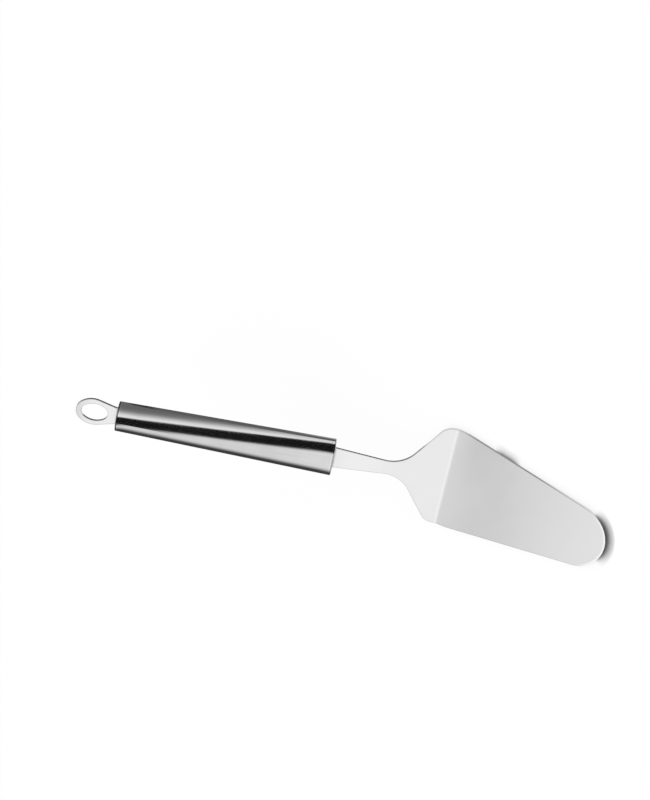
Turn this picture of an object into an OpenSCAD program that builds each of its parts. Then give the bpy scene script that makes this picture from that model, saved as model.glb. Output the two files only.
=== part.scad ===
// Cake server: a blade stamped and bent from stainless sheet, on a tapered tube handle that ends in a hanging eye.
// The blade lies flat on XY with its tip towards +X, and the handle rises towards -X.
// The origin is the middle of the blade's flat underside.

/* [Blade] */
// Flat length of the blade, from the bend to the tip
blade_l = 92; // [80:0.5:105]
// Width of the blade at the bend
blade_w = 59.2; // [55:0.2:64]
// Thickness of the sheet
sheet_t = 1.2; // [0.9:0.1:1.6]
// Radius of the round tip
tip_r = 17.6; // [15:0.1:19]
// Radius of the blade's side where it leaves the bend
side_r = 36; // [28:1:42]
// Straight edge at each end of the bend, before the side and the heel's corner curve in
bend_edge_l = 0.4; // [0.2:0.1:1]

/* [Shoulder and neck] */
// Angle that the shoulder rises at from the blade
shoulder_angle = 31; // [28:0.5:35]
// Angle that the neck and the handle rise at
handle_angle = 27; // [22:0.5:27.5]
// Inside radius of the bend between the blade and the shoulder
bend_r = 6; // [5:0.5:8]
// Radius of the gentle crest between the shoulder and the neck
crest_r = 100; // [60:5:120]
// Straight length of the shoulder, from the bend to the crest
shoulder_l = 27.5; // [25:0.5:32]
// Straight length of the neck, from the crest to the front face of the handle
neck_l = 25.8; // [22:0.1:34]
// Width of the neck at the handle
neck_w = 12; // [10.5:0.5:13]
// Width of the neck at its narrowest place
waist_w = 8; // [7:0.5:9]
// Distance from the bend to the narrowest place
waist_at = 31.2; // [30:0.2:34]
// Radius of the hollow curve that runs from the waist out to the heel
waist_r = 16.5; // [15:0.5:19]
// Radius of the heel's corners
heel_r = 8; // [6:0.5:10]
// Width of the tang inside the handle
tang_w = 9; // [7:0.5:10]
// Length of the tang inside the handle
tang_l = 22; // [16:1:30]

/* [Handle] */
// Length of the handle over both caps
handle_l = 117.2; // [105:0.1:125]
// Diameter at the front face
front_d = 19.9; // [18:0.1:22]
// Diameter at the rear face
rear_d = 16; // [15:0.1:17]
// Wall of the tube
tube_wall = 0.8; // [0.6:0.1:1]
// Thickness of a cap outside the tube
cap_t = 0.8; // [0.7:0.1:1.5]
// Round edge of a cap
cap_edge_r = 0.25; // [0.2:0.05:0.4]
// Length of a cap's rim inside the tube
rim_l = 4; // [3:0.5:6]
// Wall of a cap's rim
rim_wall = 1; // [0.8:0.1:1.2]
// Bevel on both edges of the seam between cap and tube
seam_bevel = 0.1; // [0.05:0.05:0.15]

/* [Hanging loop] */
// Thickness of the loop's plate
loop_t = 1.4; // [1.2:0.1:1.8]
// Reach of the loop behind the handle
loop_l = 22.4; // [21:0.2:25]
// Widest part of the loop
loop_w = 15.4; // [14.8:0.1:16.4]
// Distance from the handle to the loop's widest part
loop_at = 13; // [12.6:0.1:13.4]
// Radius of the loop's rear end
loop_end_r = 6.6; // [6:0.1:7]
// Width of the loop where it meets the cap
shank_w = 9.8; // [8.2:0.2:10]
// Straight length of the loop at the cap
shank_l = 1; // [1:0.1:2]
// Length of the oval eye
eye_l = 14.2; // [13.4:0.2:15.2]
// Width of the oval eye
eye_w = 10.2; // [9.6:0.1:11]
// Radius of the eye's ends
eye_end_r = 4.2; // [3.8:0.1:4.6]
// Width of the loop behind the eye
loop_rim = 3; // [2.4:0.1:3.4]
// Width of the loop's tang inside the handle
loop_tang_w = 6; // [5:0.5:7]
// Length of the loop's tang inside the handle
loop_tang_l = 12; // [8:1:16]

/* [Joints] */
// Leg of the weld fillets where the neck and the loop meet their caps
weld_leg = 0.7; // [0.5:0.1:0.9]
// Gap round each piece that passes through or fits into another
fit = 0.05; // [0.02:0.01:0.1]

/* [Hidden] */
$fn = 96;

// Degrees between the points of an arc
arc_step = 4;
// Length that a cut runs past what it cuts
overrun = 1;

// Half widths
heel_y = blade_w / 2;
neck_y = neck_w / 2;
waist_y = waist_w / 2;

// Radius of the bend's outer side, and the height of its axis above the underside
bend_outer_r = bend_r + sheet_t;
// How far the flat and the sloping outlines both run into the bend, as a share of the bend's length
bend_share = 0.67;
bend_reach = bend_share * bend_outer_r * sin(shoulder_angle);
// Angle that the crest turns back through, and the neck's reach along the shoulder's own direction
crest_turn = shoulder_angle - handle_angle;
neck_reach = shoulder_l + crest_r * sin(crest_turn) + neck_l * cos(crest_turn);

// Semi-axes of the loop and of its eye, and where the eye's centre lies behind the handle
eye_a = eye_l / 2;
eye_b = eye_w / 2;
eye_at = loop_l - loop_rim - eye_a;
loop_b = loop_w / 2;
loop_a = loop_l - loop_at;

// Points of an arc round c, from angle a0 to angle a1
function arc(c, r, a0, a1) =
    let (steps = ceil(abs(a1 - a0) / arc_step))
    [for (i = [0 : steps]) c + r * [cos(a0 + (a1 - a0) * i / steps), sin(a0 + (a1 - a0) * i / steps)]];

// Direction of the normal that two circles share on their common tangent.
// reach is the second radius less the first, or less both where the line crosses between them.
function tangent_angle(c1, c2, reach, turn) =
    let (d = c1 - c2)
    atan2(d[1], d[0]) + turn * acos(reach / norm(d));

// Mirrors a list of points about the centreline, in reverse order
function other_side(points) = [for (i = [len(points) - 1 : -1 : 0]) [points[i][0], -points[i][1]]];

// Radius of the side arcs of an oval with semi-axes a and b and end arcs of radius r
function oval_side_r(a, b, r) = (a * a - 2 * a * r + b * b) / (2 * (b - r));
// Angle at which an oval's end arc gives way to its side arc
function oval_turn(a, b, r) = atan2(oval_side_r(a, b, r) - b, a - r);

// Outside radius of the handle at a distance behind its front face
function handle_r(z) = (front_d + (rear_d - front_d) * z / handle_l) / 2;
// Radius of a cap's rim there
function rim_r(z) = handle_r(z) - tube_wall - fit;

// Half outline of the flat blade, from the bend to the tip
function blade_half() =
    let (
        side_c = [bend_edge_l, heel_y - side_r],
        tip_c = [blade_l - tip_r, 0],
        taper = tangent_angle(side_c, tip_c, tip_r - side_r, -1),
        normal = taper < 0 ? taper + 360 : taper
    )
    concat(
        [[-bend_reach, heel_y]],
        arc(side_c, side_r, 90, normal),
        arc(tip_c, tip_r, normal, 0)
    );

// Half outline of the shoulder and neck, seen square to the shoulder, from the bend to past the tang's end
function neck_half() =
    let (
        heel_c = [-bend_edge_l, heel_y - heel_r],
        waist_c = [-waist_at, waist_y + waist_r],
        neck_end = [-neck_reach, neck_y],
        flare = tangent_angle(heel_c, waist_c, -(heel_r + waist_r), 1),
        neck_turn = tangent_angle(neck_end, waist_c, -waist_r, -1) + 180,
        past_end = neck_end + overrun * [sin(neck_turn), -cos(neck_turn)]
    )
    concat(
        [[bend_reach, heel_y]],
        arc(heel_c, heel_r, 90, flare),
        arc(waist_c, waist_r, flare + 180, neck_turn + 360),
        [past_end, [past_end[0] - tang_l, past_end[1]]]
    );

// Direction of the sheet's upper normal where it rises at an angle, as [x, z]
function up_normal(angle) = [sin(angle), cos(angle)];

// Seen from the side: one strip of sheet, flat under the blade, turned up at the bend and eased back at the crest
module bent_strip() {
    bend_axis = [0, bend_outer_r];
    shoulder_way = [-cos(shoulder_angle), sin(shoulder_angle)];
    neck_way = [-cos(handle_angle), sin(handle_angle)] * (neck_l + tang_l);
    crest_axis = bend_axis + shoulder_way * shoulder_l - up_normal(shoulder_angle) * (bend_outer_r + crest_r);
    under_bend = arc(bend_axis, bend_outer_r, 270, 270 - shoulder_angle);
    over_bend = arc(bend_axis, bend_r, 270 - shoulder_angle, 270);
    under_crest = arc(crest_axis, crest_r, 90 - shoulder_angle, 90 - handle_angle);
    over_crest = arc(crest_axis, crest_r + sheet_t, 90 - handle_angle, 90 - shoulder_angle);
    under_end = under_crest[len(under_crest) - 1] + neck_way;
    over_end = over_crest[0] + neck_way;
    polygon(concat(
        [[blade_l, 0]], under_bend, under_crest, [under_end],
        [over_end], over_crest, over_bend, [[blade_l, sheet_t]]
    ));
}

// Turns children that lie flat up about the bend's axis, onto the shoulder
module on_shoulder() {
    translate([0, 0, bend_outer_r])
        rotate([0, shoulder_angle, 0])
            translate([0, 0, -bend_outer_r])
                children();
}

// Places children whose Z axis is the handle's axis, with its front face at zero
module on_handle() {
    on_shoulder()
        translate([-shoulder_l, 0, -crest_r])
            rotate([0, -crest_turn, 0])
                translate([-neck_l, 0, crest_r + sheet_t / 2])
                    rotate([0, -90, 0])
                        children();
}

// Moves the bend to its place behind the origin
module placed() {
    translate([-blade_l / 2, 0, 0])
        children();
}

module blade() {
    color("gainsboro")
        placed()
            difference() {
                intersection() {
                    rotate([90, 0, 0])
                        linear_extrude(height = blade_w + 2 * overrun, center = true)
                            bent_strip();
                    union() {
                        translate([0, 0, -overrun])
                            linear_extrude(height = bend_outer_r + overrun)
                                polygon(concat(blade_half(), other_side(blade_half())));
                        on_shoulder()
                            translate([0, 0, -neck_l])
                                linear_extrude(height = neck_l + tang_l)
                                    polygon(concat(neck_half(), other_side(neck_half())));
                    }
                }
                on_handle()
                    for (side = [-1, 1])
                        tang_side(side);
            }
}

// What is cut away beside the tang, so that the neck seats on the cap's face
module tang_side(side) {
    depth = neck_y + overrun - tang_w / 2;
    translate([0, side * (tang_w + depth) / 2, (tang_l + overrun) / 2])
        cube([sheet_t + 2 * overrun, depth, tang_l + overrun], center = true);
}

module handle_tube() {
    front_z = cap_t;
    rear_z = handle_l - cap_t;
    color("silver")
        placed()
            on_handle()
                rotate_extrude()
                    polygon([
                        [handle_r(front_z) - tube_wall, front_z],
                        [handle_r(front_z) - seam_bevel, front_z],
                        [handle_r(front_z + seam_bevel), front_z + seam_bevel],
                        [handle_r(rear_z - seam_bevel), rear_z - seam_bevel],
                        [handle_r(rear_z) - seam_bevel, rear_z],
                        [handle_r(rear_z) - tube_wall, rear_z]
                    ]);
}

// A pressed cap: a disc flush with the tube and a rim inside it, round a slot for a flat tang.
// face_z is its outer face, and inward is 1 or -1, the way to the handle's middle.
module cap(face_z, inward, slot_w, slot_t) {
    seam_z = face_z + inward * cap_t;
    rim_z = seam_z + inward * rim_l;
    edge_z = face_z + inward * cap_edge_r;
    bevel_z = seam_z - inward * seam_bevel;
    edge_c = [handle_r(edge_z) - cap_edge_r, edge_z];
    difference() {
        rotate_extrude()
            polygon(concat(
                [[0, face_z]],
                arc(edge_c, cap_edge_r, -90 * inward, 0),
                [
                    [handle_r(bevel_z), bevel_z],
                    [handle_r(seam_z) - seam_bevel, seam_z],
                    [rim_r(seam_z), seam_z],
                    [rim_r(rim_z), rim_z],
                    [rim_r(rim_z) - rim_wall, rim_z],
                    [rim_r(seam_z) - rim_wall, seam_z],
                    [0, seam_z]
                ]
            ));
        translate([0, 0, (face_z + seam_z) / 2])
            cube([slot_t + 2 * fit, slot_w + 2 * fit, cap_t + 2 * overrun], center = true);
    }
}

module front_cap() {
    color("lightgray")
        placed()
            on_handle()
                cap(0, 1, tang_w, sheet_t);
}

module rear_cap() {
    color("lightgray")
        placed()
            on_handle()
                cap(handle_l, -1, loop_tang_w, loop_t);
}

// Outline of the loop's plate: a drop-shaped ring, and the tang that passes through the cap
module loop_outline() {
    side_r = oval_side_r(loop_a, loop_b, loop_end_r);
    turn = oval_turn(loop_a, loop_b, loop_end_r);
    side_c = [loop_at, loop_b - side_r];
    shank = [shank_l, shank_w / 2];
    leaves = tangent_angle(shank, side_c, side_r, -1);
    half = concat(
        [[-loop_tang_l, loop_tang_w / 2], [0, loop_tang_w / 2], [0, shank_w / 2], shank],
        arc(side_c, side_r, leaves, turn),
        arc([loop_at + loop_a - loop_end_r, 0], loop_end_r, turn, 0)
    );
    difference() {
        polygon(concat(half, other_side(half)));
        eye_outline();
    }
}

module eye_outline() {
    side_r = oval_side_r(eye_a, eye_b, eye_end_r);
    turn = oval_turn(eye_a, eye_b, eye_end_r);
    quarter = concat(
        arc([eye_at + eye_a - eye_end_r, 0], eye_end_r, 0, turn),
        arc([eye_at, eye_b - side_r], side_r, turn, 180 - turn),
        arc([eye_at - eye_a + eye_end_r, 0], eye_end_r, 180 - turn, 180)
    );
    polygon(concat(quarter, other_side(quarter)));
}

module hanging_loop() {
    color("gainsboro")
        placed()
            on_handle()
                translate([0, 0, handle_l])
                    rotate([0, -90, 0])
                        linear_extrude(height = loop_t, center = true)
                            loop_outline();
}

// A weld fillet that runs round a flat bar standing on a face
module weld_bead(bar_w, bar_t) {
    difference() {
        union() {
            rotate([90, 0, 0])
                linear_extrude(height = bar_w, center = true)
                    bead_section(bar_t / 2);
            rotate([90, 0, 90])
                linear_extrude(height = bar_t, center = true)
                    bead_section(bar_w / 2);
            for (x = [-1, 1], y = [-1, 1])
                translate([x * bar_t / 2, y * bar_w / 2, 0])
                    cylinder(h = weld_leg, r1 = weld_leg, r2 = 0);
        }
        cube([bar_t, bar_w, 2 * weld_leg + overrun], center = true);
    }
}

// The fillets on both sides of a bar, as one section
module bead_section(half) {
    polygon([[-half - weld_leg, 0], [half + weld_leg, 0], [half, weld_leg], [-half, weld_leg]]);
}

module neck_weld() {
    color("darkgray")
        placed()
            on_handle()
                mirror([0, 0, 1])
                    weld_bead(neck_w, sheet_t);
}

module loop_weld() {
    color("darkgray")
        placed()
            on_handle()
                translate([0, 0, handle_l])
                    weld_bead(shank_w, loop_t);
}

blade();
handle_tube();
front_cap();
rear_cap();
hanging_loop();
neck_weld();
loop_weld();
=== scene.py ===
from math import cos, exp, radians, sin

import bpy
from bpy.props import FloatProperty, FloatVectorProperty, PointerProperty
from bpy.types import NodeSocket, Operator, Panel, PropertyGroup
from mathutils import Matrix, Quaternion, Vector

bl_info = {
    "name": "Cake server",
    "version": (1, 0, 0),
    "blender": (4, 5, 0),
    "location": "View3D > Sidebar > Cake server",
    "description": "Finishes the steel of a cake server and sets it on a studio floor",
    "category": "Object",
}

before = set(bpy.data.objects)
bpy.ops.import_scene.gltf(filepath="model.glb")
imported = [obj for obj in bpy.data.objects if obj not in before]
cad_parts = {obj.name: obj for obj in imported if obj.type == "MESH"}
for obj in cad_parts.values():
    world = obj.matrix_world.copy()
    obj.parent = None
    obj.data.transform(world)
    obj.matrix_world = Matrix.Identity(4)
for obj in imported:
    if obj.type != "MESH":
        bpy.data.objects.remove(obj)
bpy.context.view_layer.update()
MM = 0.001

# The handle's line, from the middle of its front face towards its rear
HANDLE_ANGLE = radians(27)
HANDLE_FRONT = Vector((-102.1, 0, 30.8)) * MM
HANDLE_WAY = Vector((-cos(HANDLE_ANGLE), 0, sin(HANDLE_ANGLE)))
HANDLE_UP = Vector((sin(HANDLE_ANGLE), 0, cos(HANDLE_ANGLE)))
CAP_LENGTH = 0.8 * MM
TUBE_LENGTH = 115.6 * MM
# Width of the painted highlight on each of the tube's rims
RIM_HIGHLIGHT_WIDTH = 0.5 * MM

# The round tip of the blade, on its upper side, the width of the painted highlight along its rim, and
# where along X that highlight begins and is full
TIP_CENTRE = Vector((28.4, 0, 1.2)) * MM
TIP_RADIUS = 17.6 * MM
TIP_HIGHLIGHT_WIDTH = 0.9 * MM
TIP_HIGHLIGHT_RISE = (32 * MM, 42 * MM)

# Painted shade on the blade in front of the bend, darkening its colour: where along X it begins and
# is full, where it is gone and still full towards the tip, and where along Y it begins and is full
PAINTED_BEND_SHADE_RISE = (-47 * MM, -34 * MM)
PAINTED_BEND_SHADE_FADE = (-2 * MM, -30 * MM)
PAINTED_BEND_SHADE_ACROSS = (-28 * MM, 28 * MM)

# Grain: the detail of its lines, and the size and detail of the wide clouds over them
LINE_DETAIL = 3
CLOUDS_PER_METRE = 90
CLOUD_DETAIL = 4

# Painted edge shade: the cosine between face and rounded edge where the shade begins and is full
EDGE_SHADE_BEGINS = 0.995
EDGE_SHADE_FULL = 0.85
EDGE_SHADE_SAMPLES = 8

# Rounded edges: faces this close are joined, edges sharper than this are rounded in so many steps,
# and this is how much flat faces count in the shading next to them
JOINED_GAP = 0.001 * MM
ROUNDED_ANGLE = radians(40)
ROUNDING_STEPS = 3
FLAT_FACE_WEIGHT = 80


# Settings

class ServerFinish(PropertyGroup):
    """Colours and finishes of the steel"""

    satin_colour: FloatVectorProperty(
        name="Satin colour", description="Colour of the blade and the hanging loop",
        subtype="COLOR", size=3, min=0, max=1, default=(0.82, 0.82, 0.82))
    satin_roughness: FloatProperty(
        name="Satin roughness", description="How matt the blade is",
        subtype="FACTOR", min=0, max=1, default=0.24)
    # Painted shade on the blade in front of its bend
    painted_bend_shade: FloatProperty(
        name="Painted bend shade", description="How much darker the blade is in front of its bend",
        subtype="FACTOR", min=0, max=1, default=0.12)
    loop_roughness: FloatProperty(
        name="Loop roughness", description="How matt the hanging loop is",
        subtype="FACTOR", min=0, max=1, default=0.14)
    tube_colour: FloatVectorProperty(
        name="Tube colour", description="Colour of the handle's tube",
        subtype="COLOR", size=3, min=0, max=1, default=(0.8, 0.8, 0.8))
    tube_roughness: FloatProperty(
        name="Tube roughness", description="How matt the handle's tube is",
        subtype="FACTOR", min=0, max=1, default=0.12)
    # The caps' colours hold painted shade on their end faces, most on the rear cap
    front_cap_shaded_colour: FloatVectorProperty(
        name="Front cap shaded colour", description="Colour of the cap at the neck",
        subtype="COLOR", size=3, min=0, max=1, default=(0.5, 0.5, 0.5))
    rear_cap_shaded_colour: FloatVectorProperty(
        name="Rear cap shaded colour", description="Colour of the cap at the hanging loop",
        subtype="COLOR", size=3, min=0, max=1, default=(0.22, 0.22, 0.22))
    cap_roughness: FloatProperty(
        name="Cap roughness", description="How matt the two caps are",
        subtype="FACTOR", min=0, max=1, default=0.14)
    weld_colour: FloatVectorProperty(
        name="Weld colour", description="Colour of the weld fillets",
        subtype="COLOR", size=3, min=0, max=1, default=(0.6, 0.6, 0.6))
    weld_roughness: FloatProperty(
        name="Weld roughness", description="How matt the weld fillets are",
        subtype="FACTOR", min=0, max=1, default=0.4)
    edge_radius: FloatProperty(
        name="Edge radius", description="Radius of the sheet's tumbled edges",
        subtype="DISTANCE", unit="LENGTH", min=0.0001, max=0.0005, default=0.0003)
    loop_edge_radius: FloatProperty(
        name="Loop edge radius", description="Radius of the hanging loop's edges",
        subtype="DISTANCE", unit="LENGTH", min=0.00005, max=0.0005, default=0.00008)
    # Painted shade along the edges: a darker line on the blade and on the loop
    edge_shade_width: FloatProperty(
        name="Edge shade width", description="Width of the darker line along the edges",
        subtype="DISTANCE", unit="LENGTH", min=0.0001, max=0.002, default=0.0009)
    edge_shade_share: FloatProperty(
        name="Edge shade share", description="How much darker that line is on the blade",
        subtype="FACTOR", min=0, max=1, default=0.42)
    loop_edge_shade_share: FloatProperty(
        name="Loop edge shade share", description="How much darker that line is on the loop",
        subtype="FACTOR", min=0, max=1, default=0.6)


class ServerStage(PropertyGroup):
    """Camera, floor and light of the studio"""

    camera_place: FloatVectorProperty(
        name="Camera", description="Where the camera stands",
        subtype="XYZ", unit="LENGTH", size=3, default=(0.25225, 0.49868, 0.82002))
    camera_aim: FloatVectorProperty(
        name="Aim", description="Point on the floor in the middle of the picture",
        subtype="XYZ", unit="LENGTH", size=3, default=(-0.12802, 0.01196, 0))
    camera_roll: FloatProperty(
        name="Roll", description="Turn of the camera about its line of sight",
        subtype="ANGLE", default=radians(-123.78))
    camera_lens: FloatProperty(
        name="Lens", description="Focal length on a 36 mm frame",
        min=20, max=200, default=83.915)
    floor_size: FloatProperty(
        name="Floor", description="Width of the floor",
        subtype="DISTANCE", unit="LENGTH", min=1, max=20, default=8)
    dome_light: FloatProperty(
        name="Dome", description="Strength of the light from all round",
        min=0, max=2, default=1)
    shadow_share: FloatProperty(
        name="Shadow", description="Share of the floor's light that wide shadows take",
        subtype="FACTOR", min=0, max=1, default=0.1)
    shadow_reach: FloatProperty(
        name="Contact shadow", description="How far the contact shadow reaches",
        subtype="DISTANCE", unit="LENGTH", min=0.001, max=0.1, default=0.005)
    tip_shadow: FloatProperty(
        name="Tip shadow", description="Depth of the contact shadow at the tip",
        min=0, max=10, default=5.3)
    side_shadow: FloatProperty(
        name="Side shadow", description="Depth of the contact shadow beside the blade",
        min=0, max=10, default=2.3)
    least_shadow: FloatProperty(
        name="Least shadow", description="Depth of the contact shadow elsewhere",
        min=0, max=10, default=0.22)


# Nodes

def feed(tree, socket, value):
    """Links a node's output to a socket, or sets the socket to a plain value"""
    if isinstance(value, NodeSocket):
        tree.links.new(value, socket)
    else:
        socket.default_value = value


def math_node(tree, operation, *values):
    """Result of a sum on linked or plain values"""
    node = tree.nodes.new("ShaderNodeMath")
    node.operation = operation
    for socket, value in zip(node.inputs, values):
        feed(tree, socket, value)
    return node.outputs["Value"]


def vector_node(tree, operation, *vectors, result="Vector"):
    """Result of a sum on one or two vectors"""
    node = tree.nodes.new("ShaderNodeVectorMath")
    node.operation = operation
    for socket, vector in zip(node.inputs, vectors):
        feed(tree, socket, vector)
    return node.outputs[result]


def combine_node(tree, x, y, z):
    """A vector from three values"""
    node = tree.nodes.new("ShaderNodeCombineXYZ")
    for socket, value in zip(node.inputs, (x, y, z)):
        feed(tree, socket, value)
    return node.outputs["Vector"]


def split_node(tree, vector):
    """X, Y and Z of a vector"""
    node = tree.nodes.new("ShaderNodeSeparateXYZ")
    feed(tree, node.inputs["Vector"], vector)
    return node.outputs


def noise_node(tree, place, scale, detail):
    """Noise between 0 and 1"""
    node = tree.nodes.new("ShaderNodeTexNoise")
    feed(tree, node.inputs["Vector"], place)
    feed(tree, node.inputs["Scale"], scale)
    feed(tree, node.inputs["Detail"], detail)
    return node.outputs["Fac"]


def ramp_node(tree, value, low, high, top=1):
    """A soft ramp from 0 where the value is low to top where it is high"""
    node = tree.nodes.new("ShaderNodeMapRange")
    node.interpolation_type = "SMOOTHSTEP"
    feed(tree, node.inputs["Value"], value)
    feed(tree, node.inputs["From Min"], low)
    feed(tree, node.inputs["From Max"], high)
    feed(tree, node.inputs["To Max"], top)
    return node.outputs["Result"]


def object_place(tree):
    """Object coordinates, in metres"""
    return tree.nodes.new("ShaderNodeTexCoord").outputs["Object"]


def new_group(name, inputs, outputs):
    """A shader group and its sockets, each given by name and kind"""
    tree = bpy.data.node_groups.new(name, "ShaderNodeTree")
    for socket, kind in inputs.items():
        tree.interface.new_socket(socket, in_out="INPUT", socket_type="NodeSocket" + kind)
    for socket, kind in outputs.items():
        tree.interface.new_socket(socket, in_out="OUTPUT", socket_type="NodeSocket" + kind)
    start = tree.nodes.new("NodeGroupInput")
    end = tree.nodes.new("NodeGroupOutput")
    return tree, start.outputs, end.inputs


def use_group(tree, group, values):
    """Outputs of a group's node in a material, with its inputs fed by name"""
    node = tree.nodes.new("ShaderNodeGroup")
    node.node_tree = group
    for socket, value in values.items():
        feed(tree, node.inputs[socket], value)
    return node.outputs


# Materials

def steel_grain():
    """Group: fine grain drawn out along one direction, as a height, a colour and a roughness"""
    name = "Steel grain"
    if name in bpy.data.node_groups:
        return bpy.data.node_groups[name]
    inputs = {
        "Place": "Vector", "Turn": "Float", "Lines": "Float", "Stretch": "Float",
        "Colour": "Color", "Mottle": "Float", "Roughness": "Float", "Spread": "Float",
    }
    outputs = {"Height": "Float", "Colour": "Color", "Roughness": "Float"}
    tree, start, end = new_group(name, inputs, outputs)
    turn = tree.nodes.new("ShaderNodeVectorRotate")
    turn.rotation_type = "Y_AXIS"
    feed(tree, turn.inputs["Vector"], start["Place"])
    feed(tree, turn.inputs["Angle"], start["Turn"])
    stretch = combine_node(tree, start["Stretch"], 1, 1)
    drawn = vector_node(tree, "MULTIPLY", turn.outputs["Vector"], stretch)
    lines = noise_node(tree, drawn, start["Lines"], LINE_DETAIL)
    clouds = noise_node(tree, start["Place"], CLOUDS_PER_METRE, CLOUD_DETAIL)
    sway = math_node(tree, "SUBTRACT", math_node(tree, "ADD", lines, clouds), 1)
    shade = math_node(tree, "MULTIPLY_ADD", sway, start["Mottle"], 1)
    grey = combine_node(tree, shade, shade, shade)
    feed(tree, end["Height"], lines)
    feed(tree, end["Colour"], vector_node(tree, "MULTIPLY", start["Colour"], grey))
    rough = math_node(tree, "MULTIPLY_ADD", sway, start["Spread"], start["Roughness"])
    feed(tree, end["Roughness"], rough)
    return tree


def steel(
        name, colour, roughness, spread=0.05, mottle=0.04,
        turn=0, lines=1800, stretch=1, depth=0.002 * MM):
    """Bare steel with a grain.

    The grain has lines per metre, drawn out by 1 / stretch along the turned X, and is as deep as depth.
    spread and mottle say how far it moves the roughness and the colour.
    """
    material = bpy.data.materials.new(name)
    material.use_nodes = True
    tree = material.node_tree
    shader = tree.nodes["Principled BSDF"]
    shader.inputs["Metallic"].default_value = 1
    grain = use_group(tree, steel_grain(), {
        "Place": object_place(tree), "Turn": turn, "Lines": lines, "Stretch": stretch,
        "Colour": (*colour, 1), "Mottle": mottle, "Roughness": roughness, "Spread": spread,
    })
    feed(tree, shader.inputs["Base Color"], grain["Colour"])
    feed(tree, shader.inputs["Roughness"], grain["Roughness"])
    bump = tree.nodes.new("ShaderNodeBump")
    bump.inputs["Distance"].default_value = depth
    feed(tree, bump.inputs["Height"], grain["Height"])
    feed(tree, shader.inputs["Normal"], bump.outputs["Normal"])
    return material


def band_mask():
    """Group: 1 where a value lies between Low and High, 0 elsewhere"""
    name = "Band"
    if name in bpy.data.node_groups:
        return bpy.data.node_groups[name]
    inputs = {"Value": "Float", "Low": "Float", "High": "Float"}
    tree, start, end = new_group(name, inputs, {"Mask": "Float"})
    above = math_node(tree, "GREATER_THAN", start["Value"], start["Low"])
    below = math_node(tree, "LESS_THAN", start["Value"], start["High"])
    feed(tree, end["Mask"], math_node(tree, "MULTIPLY", above, below))
    return tree


def band(tree, value, low, high):
    """Mask of a value's range in a material"""
    return use_group(tree, band_mask(), {"Value": value, "Low": low, "High": high})["Mask"]


def brighten(material, mask):
    """Paints a highlight: makes a steel white where the mask is 1"""
    tree = material.node_tree
    base = tree.nodes["Principled BSDF"].inputs["Base Color"]
    mix = tree.nodes.new("ShaderNodeMix")
    mix.data_type = "RGBA"
    feed(tree, mix.inputs["Factor"], mask)
    feed(tree, mix.inputs["A"], base.links[0].from_socket)
    feed(tree, mix.inputs["B"], (1, 1, 1, 1))
    feed(tree, base, mix.outputs["Result"])


def darken(material, share):
    """Paints shade: takes a share off a steel's colour"""
    tree = material.node_tree
    base = tree.nodes["Principled BSDF"].inputs["Base Color"]
    keep = math_node(tree, "SUBTRACT", 1, share)
    grey = combine_node(tree, keep, keep, keep)
    feed(tree, base, vector_node(tree, "MULTIPLY", base.links[0].from_socket, grey))


def paint_shade_at_bend(satin, share):
    """Paints shade on the flat blade in front of its bend, most on the +Y side, less towards the tip"""
    tree = satin.node_tree
    place = split_node(tree, object_place(tree))
    rise = ramp_node(tree, place["X"], *PAINTED_BEND_SHADE_RISE)
    fade = ramp_node(tree, place["X"], *PAINTED_BEND_SHADE_FADE)
    across = ramp_node(tree, place["Y"], *PAINTED_BEND_SHADE_ACROSS, share)
    along = math_node(tree, "MULTIPLY", rise, fade)
    darken(satin, math_node(tree, "MULTIPLY", along, across))


def paint_rim_highlights(tube):
    """Paints white highlights on the tube's rims, where it meets the caps"""
    tree = tube.node_tree
    along = vector_node(tree, "DOT_PRODUCT", object_place(tree), HANDLE_WAY, result="Value")
    front = HANDLE_FRONT.dot(HANDLE_WAY) + CAP_LENGTH
    rear = front + TUBE_LENGTH
    at_front = band(tree, along, front, front + RIM_HIGHLIGHT_WIDTH)
    at_rear = band(tree, along, rear - RIM_HIGHLIGHT_WIDTH, rear)
    brighten(tube, math_node(tree, "MAXIMUM", at_front, at_rear))


def paint_tip_highlight(satin):
    """Paints a white highlight on the rim round the blade's tip"""
    tree = satin.node_tree
    place = object_place(tree)
    reach = vector_node(tree, "DISTANCE", place, TIP_CENTRE, result="Value")
    rim = band(tree, reach, TIP_RADIUS - TIP_HIGHLIGHT_WIDTH, 2 * TIP_RADIUS)
    front = ramp_node(tree, split_node(tree, place)["X"], *TIP_HIGHLIGHT_RISE)
    brighten(satin, math_node(tree, "MULTIPLY", rim, front))


def edge_shade_mask():
    """Group: painted edge shade, 0 on flat steel, rising to Most at its edges, over Width on both sides
    """
    name = "Edge wear"
    if name in bpy.data.node_groups:
        return bpy.data.node_groups[name]
    tree, start, end = new_group(name, {"Width": "Float", "Most": "Float"}, {"Mask": "Float"})
    rounded = tree.nodes.new("ShaderNodeBevel")
    rounded.samples = EDGE_SHADE_SAMPLES
    feed(tree, rounded.inputs["Radius"], start["Width"])
    face = tree.nodes.new("ShaderNodeNewGeometry").outputs["Normal"]
    flatness = vector_node(tree, "DOT_PRODUCT", rounded.outputs["Normal"], face, result="Value")
    feed(tree, end["Mask"], ramp_node(tree, flatness, EDGE_SHADE_BEGINS, EDGE_SHADE_FULL, start["Most"]))
    return tree


def paint_edge_shade(material, width, share):
    """Paints shade into a steel's colour near its edges, as a darker line along them"""
    painted_edges = use_group(material.node_tree, edge_shade_mask(), {"Width": width, "Most": share})
    darken(material, painted_edges["Mask"])


def dress(node, material):
    """Gives a CAD node its material"""
    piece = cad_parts[node]
    piece.data.materials.clear()
    piece.data.materials.append(material)
    return piece


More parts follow.
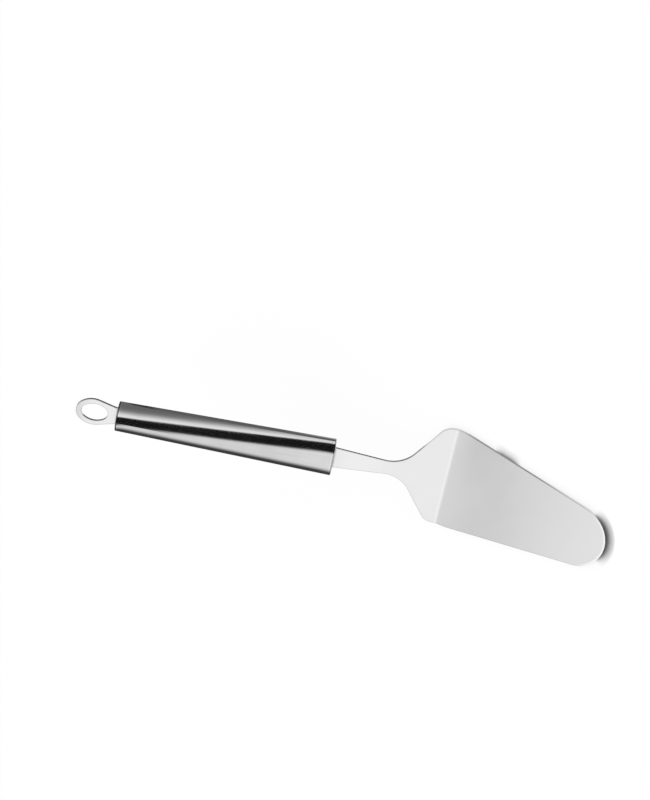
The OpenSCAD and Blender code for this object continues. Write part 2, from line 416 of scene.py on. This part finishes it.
def round_edges(piece, radius):
    """Rounds the sharp edges of a CAD node"""
    weld = piece.modifiers.new("Joined faces", "WELD")
    weld.merge_threshold = JOINED_GAP
    bevel = piece.modifiers.new("Tumbled edges", "BEVEL")
    bevel.width = radius
    bevel.segments = ROUNDING_STEPS
    bevel.limit_method = "ANGLE"
    bevel.angle_limit = ROUNDED_ANGLE
    normals = piece.modifiers.new("Smooth faces", "WEIGHTED_NORMAL")
    normals.weight = FLAT_FACE_WEIGHT


# Operators

class SERVER_OT_sheet(Operator):
    """Finish the blade, shoulder and neck, one sheet of satin steel with tumbled edges"""

    bl_idname = "server.sheet"
    bl_label = "Blade and neck"

    def execute(self, context):
        finish = context.scene.server_finish
        satin = steel("Satin steel", finish.satin_colour, finish.satin_roughness)
        paint_shade_at_bend(satin, finish.painted_bend_shade)
        paint_edge_shade(satin, finish.edge_shade_width, finish.edge_shade_share)
        paint_tip_highlight(satin)
        blade = dress("blade", satin)
        round_edges(blade, finish.edge_radius)
        return {"FINISHED"}


class SERVER_OT_handle(Operator):
    """Finish the tube of the handle and its two caps"""

    bl_idname = "server.handle"
    bl_label = "Handle"

    def execute(self, context):
        finish = context.scene.server_finish
        tube = steel(
            "Brushed steel", finish.tube_colour, finish.tube_roughness, spread=0.1, mottle=0.2,
            turn=-HANDLE_ANGLE, lines=900, stretch=0.06, depth=0.004 * MM)
        paint_rim_highlights(tube)
        dress("handle_tube", tube)
        # Each cap's steel colour holds painted shade on its end face
        caps = {"front_cap": finish.front_cap_shaded_colour, "rear_cap": finish.rear_cap_shaded_colour}
        for node, colour in caps.items():
            cap = steel(
                "Shaded steel of " + node, colour, finish.cap_roughness,
                turn=-HANDLE_ANGLE, lines=2600, stretch=0.3, depth=0.001 * MM)
            dress(node, cap)
        return {"FINISHED"}


class SERVER_OT_loop(Operator):
    """Finish the hanging loop"""

    bl_idname = "server.loop"
    bl_label = "Hanging loop"

    def execute(self, context):
        finish = context.scene.server_finish
        satin = steel(
            "Satin loop", finish.satin_colour, finish.loop_roughness,
            turn=-HANDLE_ANGLE, stretch=0.6)
        paint_edge_shade(satin, finish.edge_shade_width, finish.loop_edge_shade_share)
        loop = dress("hanging_loop", satin)
        round_edges(loop, finish.loop_edge_radius)
        return {"FINISHED"}


class SERVER_OT_welds(Operator):
    """Finish the two weld fillets"""

    bl_idname = "server.welds"
    bl_label = "Welds"

    def execute(self, context):
        finish = context.scene.server_finish
        weld = steel(
            "Weld steel", finish.weld_colour, finish.weld_roughness, spread=0.2, mottle=0.3,
            lines=1500, depth=0.05 * MM)
        dress("neck_weld", weld)
        dress("loop_weld", weld)
        return {"FINISHED"}


# Reflection cards: each has a place, in mm, and a glow, both for two shares of the card, u and v

def glow_material(name):
    """A card that glows as strongly as its own glow attribute says"""
    material = bpy.data.materials.new(name)
    material.use_nodes = True
    tree = material.node_tree
    tree.nodes.clear()
    output = tree.nodes.new("ShaderNodeOutputMaterial")
    shine = tree.nodes.new("ShaderNodeEmission")
    level = tree.nodes.new("ShaderNodeAttribute")
    level.attribute_name = "glow"
    feed(tree, shine.inputs["Strength"], level.outputs["Fac"])
    feed(tree, output.inputs["Surface"], shine.outputs["Emission"])
    material.cycles.emission_sampling = "NONE"
    return material


def card(name, place, glow, columns, rows):
    """A card that is seen in reflections only, with so many rows along u and columns along v"""
    shares = [(i / rows, j / columns) for i in range(rows + 1) for j in range(columns + 1)]
    wide = columns + 1
    faces = [
        (i * wide + j, i * wide + j + 1, (i + 1) * wide + j + 1, (i + 1) * wide + j)
        for i in range(rows) for j in range(columns)
    ]
    mesh = bpy.data.meshes.new(name)
    mesh.from_pydata([place(u, v) * MM for u, v in shares], [], faces)
    levels = mesh.attributes.new("glow", "FLOAT", "POINT")
    levels.data.foreach_set("value", [glow(u, v) for u, v in shares])
    mesh.materials.append(glow_material(name))
    piece = bpy.data.objects.new(name, mesh)
    bpy.context.collection.objects.link(piece)
    piece.visible_camera = False
    piece.visible_diffuse = False
    piece.visible_shadow = False
    piece.visible_transmission = False
    piece.visible_volume_scatter = False


def blend(first, last, share):
    """Value that share of the way from first to last"""
    return first + (last - first) * share


def smooth(low, high, value):
    """0 below low, 1 above high and a soft step between"""
    share = min(max((value - low) / (high - low), 0), 1)
    return share * share * (3 - 2 * share)


# The tent hangs round the handle and has a wall at each end: how far behind the handle's front the
# walls stand, how far off the tent is, and how wide the holes are for the neck and the loop, in mm
TENT_FRONT = -1
TENT_REAR = 118.5
TENT_RADIUS = 110
TENT_HOLE = 12
TENT_ABOVE_FLOOR = 0.3
END_CARD_GAP = 0.5

# How far the camera's line of sight, once mirrored, runs along the handle for each mm away from it,
# and so where the tent's glow begins and ends along the handle
FRONT_DRIFT = -0.054
REAR_DRIFT = 0.088
TENT_START = TENT_FRONT + FRONT_DRIFT * (TENT_RADIUS - TENT_HOLE)
TENT_END = TENT_REAR + REAR_DRIFT * (TENT_RADIUS - TENT_HOLE)

# The black stripe's middle: the degrees from straight up at the handle's front, the change for each
# mm behind it, the length in front that doesn't turn, in mm, and the stripe's own faint glow
STRIPE_AT_FRONT = 86.8
STRIPE_PER_MM = -0.755
STRIPE_STRAIGHT = 4
STRIPE_GLOW = 0.01

# The stripe's two edges: the degrees from its middle at the handle's front, the change for each mm
# behind it, and how many degrees the light takes to rise
UPPER_EDGE = 27.2
UPPER_EDGE_PER_MM = 0.02
UPPER_EDGE_SOFT = 6
LOWER_EDGE = 24.6
LOWER_EDGE_PER_MM = -0.041
LOWER_EDGE_SOFT = 18

# The light on the stripe's upper side in the picture, towards +Y: the least, the rise, the degrees
# from the stripe's middle up to which it is full, and how softly it fades
UPPER_LEAST = 0.14
UPPER_RISE = 0.78
UPPER_FULL = 36
UPPER_FADE = 33

# Share of that light left at the handle's front, and how far behind it the light is full, in mm
FRONT_SHARE = 0.85
FRONT_FADE = 40

# The light on the stripe's lower side in the picture, towards -Y: the least, the rise at the front,
# the rise from LOWER_FRONT_FADE mm behind it on, the degrees from straight up to which it is full,
# their change for each mm, and how softly it fades
LOWER_LEAST = 0.04
LOWER_FRONT_RISE = 0.79
LOWER_RISE = 0.73
LOWER_FRONT_FADE = 45
LOWER_FULL = 46
LOWER_FULL_PER_MM = -0.027
LOWER_FADE = 42


def round_handle(behind, reach, v):
    """Point behind the handle's front and at most that reach off its middle line, above the floor"""
    turn = radians(180 - 360 * v)
    way = HANDLE_UP * cos(turn) + Vector((0, 1, 0)) * sin(turn)
    start = HANDLE_FRONT / MM + HANDLE_WAY * behind
    if way.z < 0:
        reach = min(reach, (start.z - TENT_ABOVE_FLOOR) / -way.z)
    return start + way * reach


def end_place(behind):
    """Place of a card outside one of the tent's walls: u runs out from the hole, v once round it"""
    return lambda u, v: round_handle(behind, blend(TENT_HOLE, TENT_RADIUS, u), v)


def tent_place(u, v):
    """Point of the tent: u runs out on the front wall, along the handle and in on the rear wall.

    v runs once round the handle, from straight down over the +Y side and the top.
    """
    along = blend(TENT_START, TENT_END, u)
    behind = min(max(along, TENT_FRONT), TENT_REAR)
    drift = FRONT_DRIFT if along < TENT_FRONT else REAR_DRIFT
    return round_handle(behind, TENT_RADIUS - (along - behind) / drift, v)


def upper_light(askew, along):
    """Light of the tent on the stripe's +Y side, so many degrees from its middle"""
    edge = UPPER_EDGE + UPPER_EDGE_PER_MM * along
    fade = exp(-(max(askew - UPPER_FULL, 0) / UPPER_FADE) ** 2)
    front = blend(FRONT_SHARE, 1, smooth(0, FRONT_FADE, along))
    return (UPPER_LEAST + UPPER_RISE * fade) * front * smooth(edge, edge + UPPER_EDGE_SOFT, askew)


def lower_light(askew, along, turn):
    """Light of the tent on the stripe's other side, which fades with the turn from straight up"""
    edge = LOWER_EDGE + LOWER_EDGE_PER_MM * along
    full = LOWER_FULL + LOWER_FULL_PER_MM * along
    rise = blend(LOWER_FRONT_RISE, LOWER_RISE, smooth(0, LOWER_FRONT_FADE, along))
    light = LOWER_LEAST + rise * (1 - smooth(full, full + LOWER_FADE, -turn))
    return light * smooth(edge, edge + LOWER_EDGE_SOFT, -askew)


def tent_glow(u, v):
    """Black stripe that runs askew over the handle, with fading light on both sides of it"""
    turn = 180 - 360 * v
    along = blend(TENT_START, TENT_END, u)
    askew = turn - STRIPE_AT_FRONT - STRIPE_PER_MM * max(along, STRIPE_STRAIGHT)
    light = upper_light(askew, along) if askew > 0 else lower_light(askew, along, turn)
    return STRIPE_GLOW + light


def level_card(height, x, near, far):
    """Place of a level card: u runs over the span x, and v from Y near to the far side.

    far holds the Y of that side at both ends of the span, since it may run askew.
    """
    def place(u, v):
        return Vector((blend(*x, u), blend(near, blend(*far, u), v), height))
    return place


def upright_card(y, x, height):
    """Place of an upright card: u runs over the span x and v up from the floor"""
    def place(u, v):
        return Vector((blend(*x, u), y, height * v))
    return place


def card_above(behind, across, height):
    """Place of a card over the handle's line: u runs over the span behind, v over the span across"""
    def place(u, v):
        start = HANDLE_FRONT / MM + HANDLE_UP * height
        return start + HANDLE_WAY * blend(*behind, u) + Vector((0, blend(*across, v), 0))
    return place


def even_glow(level):
    """The same glow all over"""
    return lambda u, v: level


def glow_along(level, *steps):
    """A glow that changes along u: each step gives its first and last u and its change of level"""
    def glow(u, v):
        return level + sum(change * smooth(first, last, u) for first, last, change in steps)
    return glow


def rear_glow(u, v):
    """Dark on the lower +Y side and light on the rest"""
    dark = 0.1
    light = 0.9
    return blend(dark, light, smooth(0.3, 0.45, v))


def floor_glow(u, v):
    """Light under the shoulder, then dark, with more light just below the handle's front end"""
    shoulder = 0.9
    below_end = 0.5
    beside_end = 0.07
    behind_end = 0.12
    front_end = blend(below_end, beside_end, smooth(0.3, 0.7, v))
    handle = blend(front_end, behind_end, smooth(0.14, 0.26, u))
    return blend(shoulder, handle, smooth(0.05, 0.09, u))


# Stage

# The tip's contact shadow lies out along this way from the tip's centre, is full up to the first
# angle from it and ends at the second
TIP_SHADOW_WAY = Vector((0.96, 0.28, 0))
TIP_SHADOW_FULL = radians(9)
TIP_SHADOW_END = radians(54)

# The shadow beside the blade: where along Y it begins and is full, where along X it begins and is
# full, and where along X it is gone and still full
SIDE_SHADOW_ACROSS = (0, 20 * MM)
SIDE_SHADOW_RISE = (-27 * MM, -20 * MM)
SIDE_SHADOW_DROP = (-8 * MM, -16 * MM)

# The floor looks this way for what shades it, so contact shadows fall on the +X and +Y sides
SHADOW_LEAN = (-0.8, -0.36, 0.48)
SHADOW_SAMPLES = 16

# How far the floor lies under the part, and the width of the camera's frame in mm
FLOOR_DROP = 0.05 * MM
FRAME_WIDTH = 36


def contact_places(tip_depth, side_depth, least_depth):
    """Group: depth of the contact shadow, most at the tip and less beside the blade"""
    tree, start, end = new_group("Contact places", {"Place": "Vector"}, {"Depth": "Float"})
    place = split_node(tree, start["Place"])
    outward = vector_node(tree, "SUBTRACT", start["Place"], TIP_CENTRE)
    way = vector_node(tree, "NORMALIZE", outward)
    facing = vector_node(tree, "DOT_PRODUCT", way, TIP_SHADOW_WAY, result="Value")
    tip = ramp_node(tree, facing, cos(TIP_SHADOW_END), cos(TIP_SHADOW_FULL), tip_depth)
    across = ramp_node(tree, place["Y"], *SIDE_SHADOW_ACROSS, side_depth)
    rise = ramp_node(tree, place["X"], *SIDE_SHADOW_RISE)
    drop = ramp_node(tree, place["X"], *SIDE_SHADOW_DROP)
    side = math_node(tree, "MULTIPLY", across, math_node(tree, "MULTIPLY", rise, drop))
    most = math_node(tree, "MAXIMUM", tip, side)
    feed(tree, end["Depth"], math_node(tree, "MAXIMUM", most, least_depth))
    return tree


def floor_material(stage):
    """White paper, most of its light its own, that darkens close to what lies on it"""
    material = bpy.data.materials.new("Floor paper")
    material.use_nodes = True
    tree = material.node_tree
    tree.nodes.clear()
    output = tree.nodes.new("ShaderNodeOutputMaterial")
    paper = tree.nodes.new("ShaderNodeBsdfDiffuse")
    lit = stage.shadow_share
    paper.inputs["Color"].default_value = (lit, lit, lit, 1)
    contact = tree.nodes.new("ShaderNodeAmbientOcclusion")
    contact.samples = SHADOW_SAMPLES
    contact.inputs["Distance"].default_value = stage.shadow_reach
    feed(tree, contact.inputs["Normal"], combine_node(tree, *SHADOW_LEAN))
    places = contact_places(stage.tip_shadow, stage.side_shadow, stage.least_shadow)
    depth = use_group(tree, places, {"Place": object_place(tree)})["Depth"]
    shade = math_node(tree, "POWER", contact.outputs["AO"], depth)
    glow = tree.nodes.new("ShaderNodeEmission")
    feed(tree, glow.inputs["Strength"], math_node(tree, "MULTIPLY", shade, 1 - lit))
    both = tree.nodes.new("ShaderNodeAddShader")
    feed(tree, both.inputs[0], paper.outputs["BSDF"])
    feed(tree, both.inputs[1], glow.outputs["Emission"])
    feed(tree, output.inputs["Surface"], both.outputs["Shader"])
    material.cycles.emission_sampling = "NONE"
    return material


def lay_floor(stage):
    """Square floor just under the part"""
    half = stage.floor_size / 2
    corners = ((-half, -half), (half, -half), (half, half), (-half, half))
    mesh = bpy.data.meshes.new("Floor")
    mesh.from_pydata([(x, y, -FLOOR_DROP) for x, y in corners], [], [(0, 1, 2, 3)])
    mesh.materials.append(floor_material(stage))
    floor = bpy.data.objects.new("Floor", mesh)
    bpy.context.collection.objects.link(floor)


def light_dome(strength):
    """World: the same plain white from all round"""
    world = bpy.data.worlds.new("Studio")
    bpy.context.scene.world = world
    world.use_nodes = True
    sky = world.node_tree.nodes["Background"]
    sky.inputs["Color"].default_value = (1, 1, 1, 1)
    sky.inputs["Strength"].default_value = strength


def hang_tent():
    """The tent, which gives the handle its dark stripe, and a card outside each of its end walls"""
    front_end = end_place(TENT_FRONT - END_CARD_GAP)
    rear_end = end_place(TENT_REAR + END_CARD_GAP)
    card("Handle tent", tent_place, tent_glow, columns=120, rows=80)
    card("Front end", front_end, even_glow(level=0.79), columns=60, rows=8)
    card("Rear end", rear_end, rear_glow, columns=60, rows=8)


def hang_cards():
    """Flat cards that give the blade, the edges and the loop their greys"""
    # High over the part, mirrored by the flat blade
    blade = level_card(height=330, x=(-330, 100), near=-400, far=(60, 60))
    blade_glow = glow_along(0.65, (0.44, 0.62, 0.27), (0.71, 0.9, 0.2))
    card("Blade card", blade, blade_glow, columns=8, rows=60)

    # On the floor under the shoulder and the handle, mirrored by what faces down on the +Y side
    floor = level_card(height=0.8, x=(-46, -460), near=-5, far=(5, 175))
    card("Floor card", floor, floor_glow, columns=10, rows=40)

    # On the floor along the blade's +Y edge and its heel, mirrored by their roundings
    edge = level_card(height=0.02, x=(30, -50), near=-5, far=(22, 33))
    edge_glow = glow_along(0.78, (0.05, 0.42, -0.44), (0.46, 0.66, 0.05), (0.84, 0.96, 0.42))
    card("Edge card", edge, edge_glow, columns=2, rows=40)
    heel = level_card(height=0.7, x=(-44, -64), near=12, far=(34, 34))
    card("Heel card", heel, even_glow(level=0.8), columns=2, rows=2)

    # Behind the part on the floor, then on its -Y side, flat and upright
    eye = level_card(height=1, x=(-235, -400), near=-80, far=(90, 90))
    card("Eye card", eye, even_glow(level=0.05), columns=2, rows=2)
    low = level_card(height=0.1, x=(40, -300), near=-500, far=(-10, -10))
    low_glow = glow_along(1, (0, 0.25, -0.85))
    card("Low card", low, low_glow, columns=2, rows=40)
    far = upright_card(y=-500, x=(20, -700), height=180)
    card("Far card", far, even_glow(level=0.15), columns=2, rows=2)

    # Over the loop and behind it, mirrored by the loop's flat side
    loop = card_above(behind=(119.5, 219.5), across=(-100, 40), height=60)
    loop_glow = glow_along(1.02, (0.18, 0.28, -0.22))
    card("Loop card", loop, loop_glow, columns=2, rows=50)


def place_camera(stage):
    """The camera, aimed at a point and rolled about its line of sight"""
    lens = bpy.data.cameras.new("Camera")
    lens.lens = stage.camera_lens
    lens.sensor_width = FRAME_WIDTH
    camera = bpy.data.objects.new("Camera", lens)
    bpy.context.collection.objects.link(camera)
    sight = Vector(stage.camera_aim) - Vector(stage.camera_place)
    camera.rotation_mode = "QUATERNION"
    camera.location = stage.camera_place
    roll = Quaternion((0, 0, 1), stage.camera_roll)
    camera.rotation_quaternion = sight.to_track_quat("-Z", "Y") @ roll
    bpy.context.scene.camera = camera


class SERVER_OT_stage(Operator):
    """Set up the floor, the light, the reflection cards and the camera"""

    bl_idname = "server.stage"
    bl_label = "Studio"

    def execute(self, context):
        stage = context.scene.server_stage
        context.scene.view_settings.view_transform = "Standard"
        lay_floor(stage)
        light_dome(stage.dome_light)
        hang_tent()
        hang_cards()
        place_camera(stage)
        return {"FINISHED"}


class SERVER_PT_panel(Panel):
    """Cake server's steps and settings"""

    bl_idname = "SERVER_PT_panel"
    bl_label = "Cake server"
    bl_space_type = "VIEW_3D"
    bl_region_type = "UI"
    bl_category = "Cake server"

    def draw(self, context):
        layout = self.layout
        for step in STEPS:
            layout.operator(step.bl_idname)
        for settings in (context.scene.server_finish, context.scene.server_stage):
            for name in settings.__annotations__:
                layout.prop(settings, name)


STEPS = (SERVER_OT_sheet, SERVER_OT_handle, SERVER_OT_loop, SERVER_OT_welds, SERVER_OT_stage)
CLASSES = (ServerFinish, ServerStage, *STEPS, SERVER_PT_panel)


def register():
    """Adds the steps and their settings to Blender"""
    for each in CLASSES:
        bpy.utils.register_class(each)
    bpy.types.Scene.server_finish = PointerProperty(type=ServerFinish)
    bpy.types.Scene.server_stage = PointerProperty(type=ServerStage)


def unregister():
    """Takes the steps and their settings out again"""
    del bpy.types.Scene.server_stage
    del bpy.types.Scene.server_finish
    for each in reversed(CLASSES):
        bpy.utils.unregister_class(each)


def main():
    """Runs every step"""
    register()
    bpy.ops.server.sheet()
    bpy.ops.server.handle()
    bpy.ops.server.loop()
    bpy.ops.server.welds()
    bpy.ops.server.stage()


if __name__ == "__main__":
    main()
